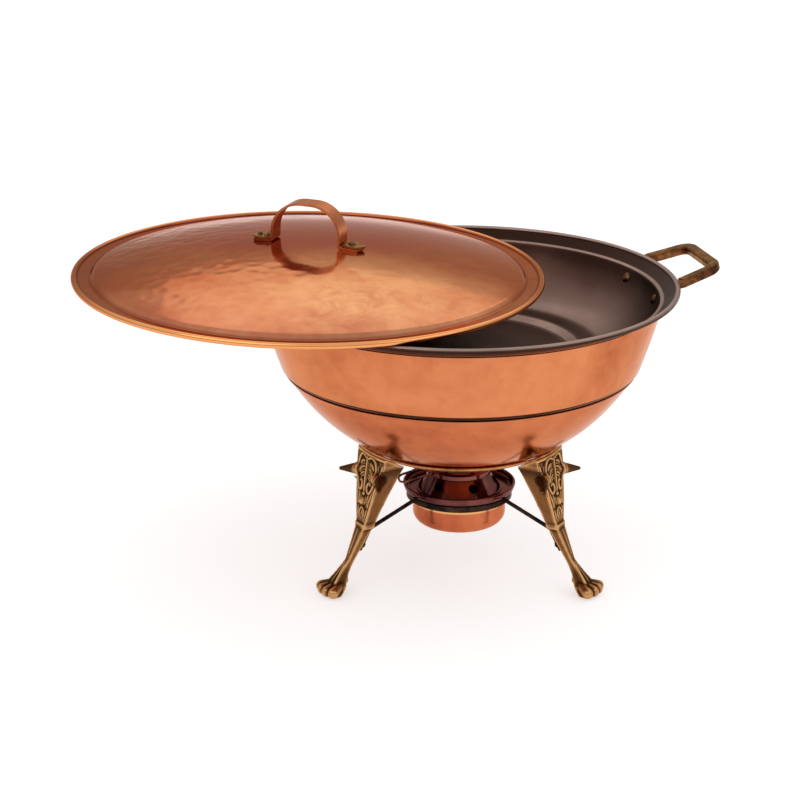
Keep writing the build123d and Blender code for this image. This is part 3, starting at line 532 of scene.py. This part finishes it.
# below 187 mm the band is painted dark, a painted shadow at the step
band_copper = copper("band_copper_look", lin(218, 134, 88), lin(206, 122, 78), lin(188, 104, 66),
                     edge_copper, 0.2, painted_shadow_top=0.187)
bowl_copper = copper("bowl_copper_look", lin(210, 124, 80), lin(198, 110, 71), lin(174, 90, 59),
                     edge_copper, 0.16)
# the cup's copper carries a painted highlight on its bead
cup_copper = copper("cup_copper_look", lin(208, 118, 78), lin(188, 98, 64), lin(150, 74, 50),
                    edge_copper, 0.2, painted_light=cup_painted_highlight)
burnt_copper = copper("burnt_copper_look", lin(134, 80, 72), lin(96, 54, 52), lin(60, 34, 36),
                      edge_burnt, 0.15)
handle_brass = brass("handle_brass_look", lin(158, 104, 62), lin(102, 63, 38), lin(48, 29, 21), 0.3)
plate_brass = brass("plate_brass_look", lin(192, 136, 78), lin(146, 97, 55), lin(78, 48, 28), 0.26)
leg_brass = brass("leg_brass_look", lin(206, 156, 104), lin(134, 90, 54), lin(50, 31, 20), 0.36, "relief")
ring_brass = brass("ring_brass_look", lin(214, 160, 112), lin(184, 122, 80), lin(112, 66, 42), 0.26)
rivet_metal = plain_metal("rivet_metal_look", lin(128, 92, 60), lin(48, 30, 20), 0.34)
loop_metal = plain_metal("loop_metal_look", lin(150, 104, 92), lin(80, 50, 44), 0.3)
dark_iron = plain_metal("dark_iron_look", lin(74, 54, 46), lin(24, 16, 15), 0.42, 0.85)
pan_look = pan_metal()
gauze_look = gauze()
fibre_look = fibre()


# ---- pans: the sheets with their curves, rounded edges and rolled rims, in millimetres ----
bowl_centre, bowl_outer, bowl_inner = (0, 266.41), 168.0, 166.5
bowl_profile = (
    straight((0, 109.49), (58.5, 109.49), 6)
    + arc(bowl_centre, bowl_outer, sphere_turn(60.4, bowl_outer), sphere_turn(144.6, bowl_outer), 64)
    + arc((145.85, 182.31), 0.75, -120, 90, 8)
    + straight((145.2, 183.06), (144.5, 183.0))
    + arc(bowl_centre, bowl_inner, sphere_turn(144.0, bowl_inner), sphere_turn(59.3, bowl_inner), 64)
    + straight((57.5, 110.99), (0, 110.99), 6)
)
add_object("water_pan_skin", lathe_mesh("water_pan_skin", bowl_profile, SEGMENTS, on_axis), bowl_copper,
           "water_pan", ["water_pan"])

band_bulge = 0.7
band_profile = (
    straight((135.1, 175.36), (136.5, 175.36))
    + straight((136.5, 182.9), (137.0, 183.36))
    + straight((140.0, 183.36), (145.9, 183.36), 3)
    + straight((146.3, 183.6), (148.9, 186.2), 3)
    + bulged((149.55, 187.0), (166.5, 241.76), band_bulge, 30)
    + straight((166.3, 242.1), (165.3, 242.1))
    + bulged((165.1, 241.9), (148.3, 187.5), band_bulge, 30)
    + straight((145.4, 184.76), (136.4, 184.76), 4)
    + straight((135.1, 183.7), (135.1, 175.36), 2)
)
add_object("jacket_skin", lathe_mesh("jacket_skin", band_profile, SEGMENTS, on_axis), band_copper,
           "food_pan", ["food_pan_jacket"])

wall_centre, wall_outer, wall_inner = (103.64, 261.13), 63.8, 62.2
rim, rim_roll, rim_top = (177.7, 250.69), 2.3, 252.99
pan_profile = (
    straight((0, 194.99), (87.4, 194.99), 14)
    + straight((88.4, 195.06), (89.2, 195.3))
    + straight((90.0, 195.55), (99.6, 198.62), 3)
    + arc(wall_centre, wall_inner, -92, -17.6, 44)
    + straight((163.3, 243.2), (163.9, 243.75))
    + straight((164.6, 243.89), (165.9, 243.95))
    + straight((166.6, 244.24), (175.0, 250.0), 6)
    + arc(rim, rim_roll, 188, -125, 24)
    + straight((175.9, 248.66), (167.2, 242.7), 6)
    + straight((166.4, 242.35), (165.0, 242.29))
    + arc(wall_centre, wall_outer, -17.2, -92, 44)
    + straight((100.6, 197.26), (89.6, 193.6), 3)
    + straight((88.6, 193.39), (0, 193.39), 14)
)
add_object("food_pan_skin", lathe_mesh("food_pan_skin", pan_profile, SEGMENTS, on_axis), pan_look,
           "food_pan", ["food_pan"])


# ---- lid: hammered dome, shifted to the left and leaning on the rim ----
tilt, bearing, shift = math.radians(1.0), math.radians(176.0), 125.7
lid_reach, dome_edge, dome_step, lid_rise = 192.5, 176.0, 3.4, 27.0
lid_gap, lid_roll, lid_sheet = 0.3, 2.5, 1.2
meet = (shift**2 + rim[0] ** 2 - lid_reach**2) / (2 * shift)
lid_height = rim_top + lid_gap + lid_roll + (shift - meet) * math.tan(tilt)
way = Vector((math.cos(bearing), math.sin(bearing), 0))
lid_up = Vector((0, 0, math.cos(tilt))) - way * math.sin(tilt)
lid_across = way * -math.cos(tilt) - Vector((0, 0, math.sin(tilt)))
lid_turn = Matrix((lid_across, lid_up.cross(lid_across), lid_up)).transposed().to_4x4()
lid_matrix = Matrix.Translation(axis + (way * shift + Vector((0, 0, lid_height))) * MM) @ lid_turn
dome_bend = (dome_edge**2 + (lid_rise - dome_step) ** 2) / (2 * (lid_rise - dome_step))
dome_turn = math.degrees(math.asin(dome_edge / dome_bend))
dome_centre = (0, lid_rise - dome_bend)


def hammered(points):
    """Shallow hammer marks on both faces of the dome, strongest on its left, over slow waves.
    Lengths are in millimetres; each mark is a bowl about a jittered point of a grid."""
    marks_end, marks_fade, calm_middle, left_start, left_fade = 172, 10, 60, 20, 120
    mark_depth, mark_depth_left = 0.02, 0.24
    wave_height, wave_height_left = 0.05, 0.09
    rng = np.random.default_rng(7)
    half, step, jitter = 204, 12.0, 0.42
    grid = np.mgrid[-half:half:step, -half:half:step].reshape(2, -1).T
    grid = grid + rng.uniform(-jitter, jitter, grid.shape) * step
    depth = rng.uniform(0.35, 1.0, len(grid))
    reach = rng.uniform(0.55, 0.8, len(grid)) * step
    x, y = points[:, 0], points[:, 1]
    radius = np.hypot(x, y)
    edge = np.clip((marks_end - radius) / marks_fade, 0, 1)
    left = np.clip((left_start - x - 0.4 * y) / left_fade, 0, 1)
    calm = np.clip(radius / calm_middle, 0.1, 1)
    strength = (mark_depth + mark_depth_left * left) * calm * edge
    out = points.copy()
    for start in range(0, len(points), CHUNK):
        part = slice(start, start + CHUNK)
        gaps = ((points[part, None, :2] - grid[None, :, :]) ** 2).sum(-1)
        bowls = np.maximum(0, 1 - gaps / reach[None, :] ** 2) ** 2 * depth[None, :]
        out[part, 2] -= strength[part] * bowls.sum(1)
    waves = np.sin(x / 23 + 1.3 * np.sin(y / 31)) * np.sin(y / 19 + 1.1 * np.sin(x / 37))
    out[:, 2] += (wave_height + wave_height_left * left) * waves * edge
    return out


lid_profile = (
    arc(dome_centre, dome_bend, 90, 90 - dome_turn * 0.996, 104)
    + straight((176.3, 3.15), (179.1, 0.72), 2)
    + straight((179.7, 0.28), (180.4, 0.04))
    + straight((181.0, 0.04), (189.9, 0.48), 4)
    + arc((lid_reach, 0), lid_roll, 168, -166, 22)
    + straight((189.0, -0.75), (180.4, -1.16), 3)
    + straight((179.5, -1.12), (178.9, -0.7))
    + straight((178.2, -0.1), (175.5, 2.2))
    + arc(dome_centre, dome_bend - lid_sheet, 90 - dome_turn * 0.99, 90, 104)
)
add_object("lid_skin", lathe_mesh("lid_skin", lid_profile, LID_SEGMENTS, lid_matrix, hammered), lid_copper,
           "lid", ["lid"])


# ---- carved legs ----
def stroke(points, width, height, samples=70):
    """Ridge along a smooth line through points in (side, up), as rows of side, up, width and
    height in millimetres. It thins and sinks towards both ends."""
    points = np.array(points, float)
    t = np.linspace(0, len(points) - 1, samples)
    index = np.clip(t.astype(int), 0, len(points) - 2)
    before = points[np.clip(index - 1, 0, None)]
    a, b = points[index], points[index + 1]
    after = points[np.clip(index + 2, None, len(points) - 1)]
    f = (t - index)[:, None]
    line = 0.5 * ((2 * a) + (b - before) * f + (2 * before - 5 * a + 4 * b - after) * f**2
                  + (3 * a - before - 3 * b + after) * f**3)
    ends = np.sin(np.linspace(0.12, 1, samples) * math.pi * 0.94) ** 0.6
    return np.column_stack([line, width * (0.45 + 0.55 * ends), height * (0.4 + 0.6 * ends)])


def carving():
    """Rows of the ornament for one half of the front; the other half mirrors it. The numbers are
    millimetres from the leg's middle line and above the table."""
    rim_line = [(1.8, 114.8), (6.5, 116.8), (11.5, 114.8), (14.3, 108), (13.9, 99.5), (11.6, 92), (8.2, 87),
                (4.8, 88), (4.0, 92), (5.8, 95), (7.8, 93.8)]
    border = [(20.6, 113), (16.8, 100), (14.2, 90), (12.4, 82), (9.8, 72), (7.9, 65), (6.8, 60.5)]
    return np.vstack([
        stroke(rim_line, 1.7, 2.0, 200),
        stroke([(4.6, 111.5), (8.0, 110.6), (10.6, 107.2)], 1.15, 1.5),
        stroke([(3.8, 106.8), (7.0, 105.8), (10.0, 102.2)], 1.15, 1.5),
        stroke([(3.4, 102.0), (6.4, 100.8), (9.0, 97.6)], 1.1, 1.4),
        stroke([(3.6, 109.3), (7.2, 108.3), (10.6, 104.6)], 0.7, 1.0),
        stroke([(3.4, 104.4), (6.8, 103.3), (9.6, 99.8)], 0.7, 1.0),
        stroke([(3.0, 99.6), (5.6, 98.4), (8.2, 95.2)], 0.8, 1.1),
        stroke([(15.6, 112), (16.4, 106), (15.2, 100), (13.4, 95)], 0.9, 1.1),
        stroke([(1.7, 113.0), (1.7, 104), (1.6, 96), (1.5, 89)], 0.7, 0.9),
        stroke([(10.6, 90.5), (8.4, 86.0), (6.9, 81.0), (5.8, 77)], 0.7, 1.0),
        stroke([(3.2, 82.5), (4.4, 79.6), (3.9, 76.2)], 0.8, 1.1),
        stroke([(0, 116), (0, 104), (0, 94), (0, 87)], 1.4, 1.9),
        stroke([(0, 84.8), (0.1, 84.4)], 1.9, 2.0),
        stroke([(13.0, 91), (10.8, 84.5), (8.8, 79.5), (7.8, 74)], 1.3, 1.5),
        stroke([(7.6, 85.5), (6.2, 82.5), (6.6, 78.5), (6.0, 74.5)], 1.0, 1.2),
        stroke([(0, 73.0), (3.0, 70.2), (3.2, 66.2), (0.4, 61.8)], 1.2, 1.6),
        stroke([(0, 70.4), (0, 67), (0, 64.2)], 0.9, 1.2),
        stroke([(6.8, 72), (6.0, 66.5), (4.6, 61.5)], 1.0, 1.3),
        stroke([(0, 54), (0, 45), (0, 34)], 1.3, 0.8),
        stroke([(1.8, 25), (3.6, 18.5), (5.0, 12)], 0.9, 0.9),
        stroke([(0, 27), (0, 18), (0, 11.5)], 0.9, 0.9),
        stroke(border, 1.0, 1.3, 160),
    ])


def smoothed(co, edges, rounds):
    """Points moved to the mean of their neighbours, a number of rounds."""
    count = len(co)
    ends = np.concatenate([edges[:, 0], edges[:, 1]])
    others = np.concatenate([edges[:, 1], edges[:, 0]])
    neighbours = np.maximum(np.bincount(ends, minlength=count), 1)
    for _ in range(rounds):
        sums = [np.bincount(ends, weights=co[others, k], minlength=count) for k in range(3)]
        co = np.stack(sums, axis=1) / neighbours[:, None]
    return co


def read_points(mesh):
    """Points and normals of a mesh."""
    co = np.empty(len(mesh.vertices) * 3)
    normals = np.empty(len(mesh.vertices) * 3)
    mesh.vertices.foreach_get("co", co)
    mesh.vertex_normals.foreach_get("vector", normals)
    return co.reshape(-1, 3), normals.reshape(-1, 3)


def add_thorn(mesh, out, across):
    """Adds the thorn beside the face, a small cone that the remesh joins to the leg; in metres."""
    base, tip, length = 0.0032, 0.0005, 0.012
    root_out, root_side, root_up = 0.0865, 0.0115, 0.0905
    root = axis + out * root_out - across * root_side + Vector((0, 0, root_up))
    way = (out * 0.25 - across + Vector((0, 0, 0.12))).normalized()
    turn = way.to_track_quat("Z", "Y").to_matrix().to_4x4()
    work = bmesh.new()
    work.from_mesh(mesh)
    bmesh.ops.create_cone(work, cap_ends=True, segments=24, radius1=base, radius2=tip, depth=length,
                          matrix=Matrix.Translation(root + way * (length / 2)) @ turn)
    work.to_mesh(mesh)
    work.free()


def remeshed(name, mesh):
    """New mesh of small even faces, with its edges softened."""
    made = bpy.data.objects.new(name, mesh)
    scene.collection.objects.link(made)
    remesh = made.modifiers.new("remesh", "REMESH")
    remesh.mode = "VOXEL"
    remesh.voxel_size = 0.0007
    soften = made.modifiers.new("soften", "SMOOTH")
    soften.factor = 0.5
    soften.iterations = 5
    evaluated = made.evaluated_get(bpy.context.evaluated_depsgraph_get())
    final = bpy.data.meshes.new_from_object(evaluated)
    bpy.data.objects.remove(made)
    return final


def carve(mesh, out, side, up):
    """Raises the ornament outward on the leg's face and foot; side and up are in millimetres."""
    face_low, face_high, face_front, foot_low = 60, 117, 0.0955, 9
    ground, share = 0.9, 0.8  # how far the face is sunk between the ridges, and the share of all depths
    facing_start, facing_fade = 0.25, 0.4
    co, normals = read_points(mesh)
    facing = np.clip((normals @ out - facing_start) / facing_fade, 0, 1)
    reach = (co - np.array(axis)) @ out
    on_face = (up > face_low) & (up < face_high) & (reach < face_front)
    rows = carving()
    raised = np.zeros(len(co))
    front = np.nonzero((facing > 0) & (up > foot_low) & (on_face | (up < face_low)))[0]
    for start in range(0, len(front), CHUNK):
        part = front[start:start + CHUNK]
        gap = np.hypot(side[part][:, None] - rows[None, :, 0], up[part][:, None] - rows[None, :, 1])
        shape = np.clip(1 - (gap / rows[None, :, 2]) ** 2, 0, 1)
        raised[part] = (shape * rows[None, :, 3]).max(1)
    lifted = (raised - np.where(on_face, ground, 0.0)) * facing * MM * share
    co += out[None, :] * lifted[:, None]
    mesh.vertices.foreach_set("co", co.ravel())
    mesh.update()


def relief_tone(mesh, side, up):
    """Tone of 0 to 1 for each point: bright where it stands proud, dark in hollows, on the horns
    and the toes."""
    middle, contrast, rounds = 0.45, 1.5, 10
    toe_top, toe_fade, toe_dark = 24, 6, 0.14
    horn_side, horn_fade, horn_low, horn_high, horn_tone = 18.3, 2.0, 93, 109, 0.2
    co, normals = read_points(mesh)
    edges = np.empty(len(mesh.edges) * 2, dtype=np.int64)
    mesh.edges.foreach_get("vertices", edges)
    mean = smoothed(co, edges.reshape(-1, 2), rounds)
    proud = ((co - mean) * normals).sum(1) / MM
    shade = middle + contrast * (proud - np.median(proud))
    shade = shade - toe_dark * np.clip((toe_top - up) / toe_fade, 0, 1)
    horn = np.clip((side - horn_side) / horn_fade, 0, 1) * ((up > horn_low) & (up < horn_high))
    shade = shade + horn * np.minimum(horn_tone - shade, 0)
    return np.clip(shade, 0, 1)


def carved_leg(name, bearing_out, source):
    """Leg made from the cast blank: edges softened, then the ornament raised on its front."""
    turn = math.radians(bearing_out)
    out = Vector((math.cos(turn), math.sin(turn), 0))
    across = Vector((-math.sin(turn), math.cos(turn), 0))
    blank = nodes[source].data.copy()
    blank.name = name
    add_thorn(blank, out, across)
    final = remeshed(name, blank)
    local = read_points(final)[0] - np.array(axis)
    side = np.abs(local @ np.array(across)) / MM
    up = local[:, 2] / MM
    carve(final, np.array(out), side, up)
    relief = final.attributes.new("relief", "FLOAT", "POINT")
    relief.data.foreach_set("value", relief_tone(final, side, up).astype(np.float32))
    return final


for node, bearing_out in (("leg_front_right", -30), ("leg_rear", 90), ("leg_front_left", 210)):
    add_object(node + "_cast", carved_leg(node + "_cast", bearing_out, node), leg_brass, "stand", [node],
               75.0)


# ---- what stays as the CAD made it gets its finish ----
finishes = {
    "lid_handle": strap_copper, "lid_handle_plate_left": plate_brass, "lid_handle_plate_right": plate_brass,
    "lid_handle_rivets": rivet_metal, "pan_handle_right": handle_brass, "pan_handle_left": handle_brass,
    "pan_handle_rivets": rivet_metal, "stand_ring": ring_brass, "leg_screws": rivet_metal,
    "burner_ring": dark_iron, "strut_front_left": dark_iron, "strut_front_right": dark_iron,
    "strut_rear": dark_iron, "strut_screws": dark_iron, "burner_cup": cup_copper,
    "burner_dish": burnt_copper, "burner_chimney": burnt_copper, "regulator_sleeve": burnt_copper,
    "regulator_handle": loop_metal, "burner_screen": gauze_look, "burner_wick": fibre_look,
}
for node, material in finishes.items():
    mesh = nodes[node].data
    mesh.materials.clear()
    mesh.materials.append(material)
